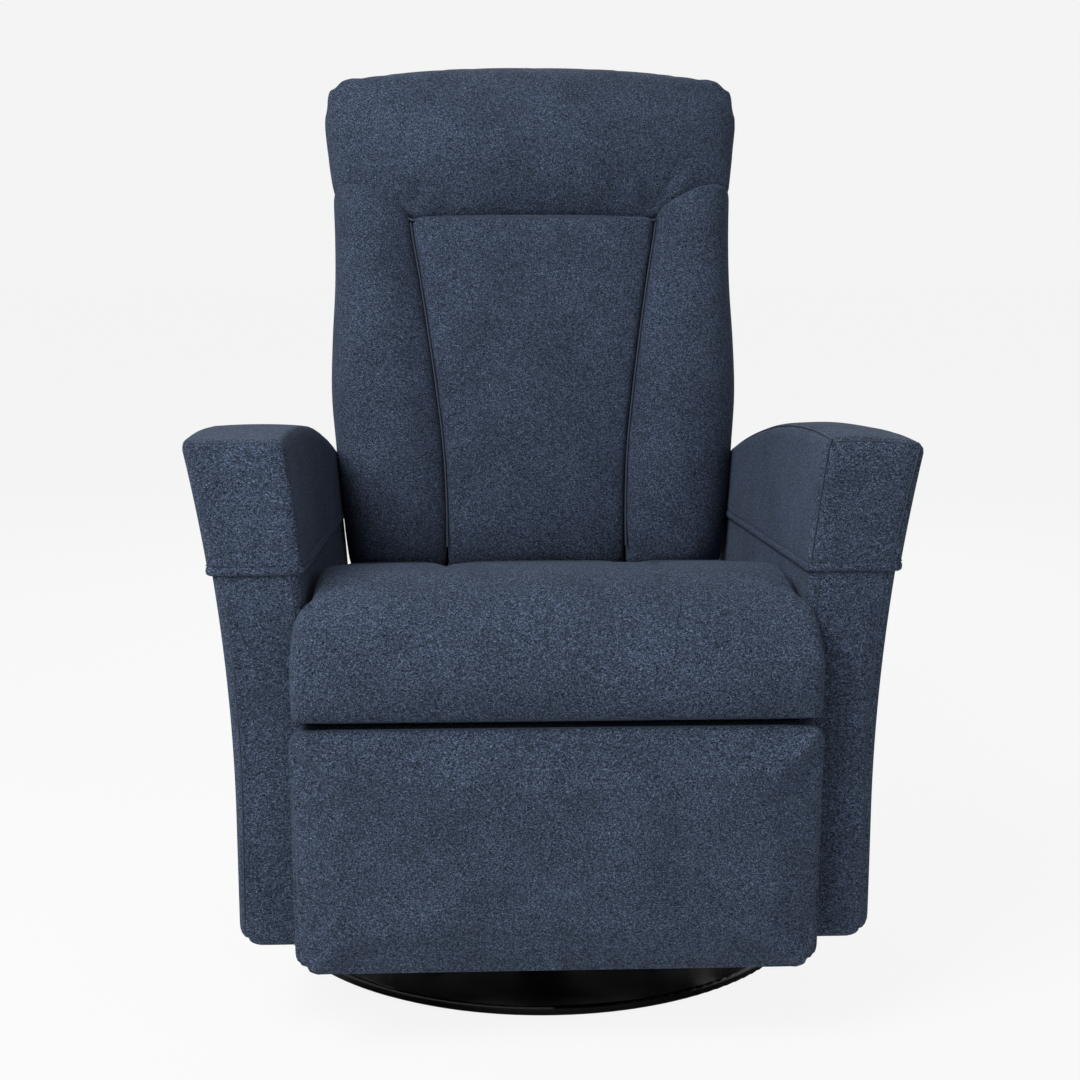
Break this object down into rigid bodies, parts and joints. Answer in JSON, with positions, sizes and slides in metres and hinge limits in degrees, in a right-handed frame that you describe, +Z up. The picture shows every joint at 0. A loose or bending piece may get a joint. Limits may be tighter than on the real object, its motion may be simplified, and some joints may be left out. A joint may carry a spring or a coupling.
{
  "type": "recliner",
  "caption": "Upholstered swivel recliner on a round disc base with flared arms, wrap-over arm caps, reclining back and fold-out footrest",
  "frame": {"origin": "where the swivel axis meets the floor, in the middle of the felt under the disc", "axes": "+Z up, -Y the way the sitter faces, +X the sitter's left"},
  "size_m": [0.7554, 0.8561, 1.0785],
  "materials": {
    "upholstery_fabric": "heathered dark navy wool-like pile fabric",
    "black_disc": "satin black coated steel",
    "frame_steel": "black powder-coated steel",
    "bright_steel": "bright zinc-plated steel",
    "bush_plastic": "natural nylon",
    "timber": "unfinished birch plywood",
    "felt": "dense black felt"
  },
  "bodies": {
    "base": {"base_felt": "felt", "base_disc": "black_disc", "column": "frame_steel", "column_bolts": "bright_steel", "column_bush": "bush_plastic", "lower_race": "bright_steel", "bearing_balls": "bright_steel"},
    "back": {"back_upright_left": "frame_steel", "back_upright_right": "frame_steel", "back_cross_lower": "frame_steel", "back_cross_upper": "frame_steel", "recline_bracket_left": "frame_steel", "recline_bracket_right": "frame_steel", "back_springs": "bright_steel", "back_centre_panel": "upholstery_fabric", "back_bolster_left": "upholstery_fabric", "back_bolster_right": "upholstery_fabric", "head_cushion": "upholstery_fabric", "back_shell": "upholstery_fabric", "strut_lever": "frame_steel"},
    "strut": {"strut_rod": "bright_steel"},
    "upper_legs": {"upper_link_left": "frame_steel", "upper_link_right": "frame_steel", "link_pins": "bright_steel"},
    "lower_legs": {"lower_link_left": "frame_steel", "lower_link_right": "frame_steel", "leg_cross_tube": "frame_steel"},
    "footrest": {"footrest_bracket_left": "frame_steel", "footrest_bracket_right": "frame_steel", "footrest_board": "timber", "footrest_box": "upholstery_fabric", "footrest_pad": "upholstery_fabric"},
    "chassis": {"swivel_plate": "frame_steel", "chassis_cross_front": "frame_steel", "chassis_cross_rear": "frame_steel", "chassis_rail_left": "frame_steel", "chassis_rail_right": "frame_steel", "side_plate_left": "frame_steel", "side_plate_right": "frame_steel", "arm_bracket_left": "frame_steel", "arm_bracket_right": "frame_steel", "strut_mount": "frame_steel", "strut_cylinder": "frame_steel", "upper_race": "bright_steel", "spindle": "bright_steel", "side_bolts": "bright_steel", "recline_pins": "bright_steel", "seat_springs": "bright_steel", "seat_rail_left": "timber", "seat_rail_right": "timber", "seat_cross_front": "timber", "seat_cross_rear": "timber", "arm_core_left": "timber", "arm_core_right": "timber", "seat_cushion": "upholstery_fabric", "arm_left": "upholstery_fabric", "arm_right": "upholstery_fabric", "arm_cap_left": "upholstery_fabric", "arm_cap_right": "upholstery_fabric", "rear_panel": "upholstery_fabric"}
  },
  "joints": [
    {"name": "swivel", "type": "hinge", "parent": "base", "child": "chassis", "pos_m": [0, 0, 0.098], "axis": [0, 0, 1], "continuous": true},
    {"name": "recline", "type": "hinge", "parent": "chassis", "child": "back", "pos_m": [0, 0.165, 0.385], "axis": [-1, 0, 0], "range_deg": [0, 30]},
    {"name": "strut_slide", "type": "slide", "parent": "chassis", "child": "strut", "axis": [0, -1, 0], "range_m": [0, 0.06967]},
    {"name": "leg_swing", "type": "hinge", "parent": "chassis", "child": "upper_legs", "pos_m": [0, -0.34856, 0.3245], "axis": [-1, 0, 0], "range_deg": [0, 70]},
    {"name": "knee", "type": "hinge", "parent": "upper_legs", "child": "lower_legs", "pos_m": [0, -0.36164, 0.17508], "axis": [-1, 0, 0], "range_deg": [-130, 0]},
    {"name": "footrest_tilt", "type": "hinge", "parent": "lower_legs", "child": "footrest", "pos_m": [0, -0.366, 0.3], "axis": [-1, 0, 0], "range_deg": [0, 148]}
  ],
  "couplings": [
    {"joint": "strut_slide", "follows": "recline", "m_per_rad": 0.13305},
    {"joint": "knee", "follows": "leg_swing", "ratio": -1.8571},
    {"joint": "footrest_tilt", "follows": "leg_swing", "ratio": 2.1143}
  ]
}
